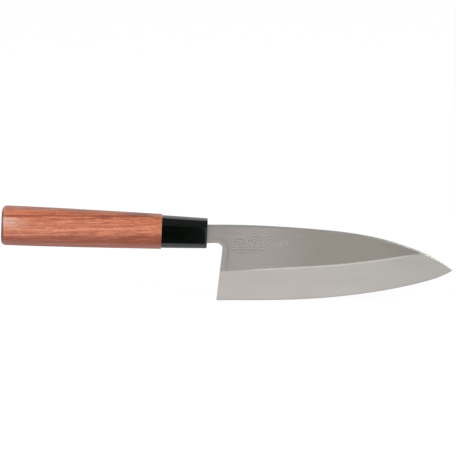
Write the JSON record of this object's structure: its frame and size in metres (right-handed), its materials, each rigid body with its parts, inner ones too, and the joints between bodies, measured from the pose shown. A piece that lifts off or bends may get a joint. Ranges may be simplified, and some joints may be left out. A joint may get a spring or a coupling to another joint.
{
  "type": "deba kitchen knife",
  "caption": "Thick single-bevel deba knife for fish and poultry, with a hidden tang, a black ferrule and an octagonal wooden grip.",
  "frame": {"origin": "under the middle of the whole knife, level with the straight part of the edge", "axes": "+X from butt to tip, +Z from edge to spine, +Y out of the blade's flat back; the bevelled side faces -Y"},
  "size_m": [0.2862, 0.02, 0.061],
  "materials": {
    "blade_steel": "satin, brushed along the blade, finer on the bevel",
    "ferrule_black": "polished black",
    "grip_wood": "red-orange hardwood, sanded and thinly lacquered",
    "adhesive_resin": "cured, dull"
  },
  "bodies": {
    "root": {"blade": "blade_steel", "ferrule": "ferrule_black", "grip": "grip_wood", "tang_adhesive": "adhesive_resin"}
  },
  "joints": []
}
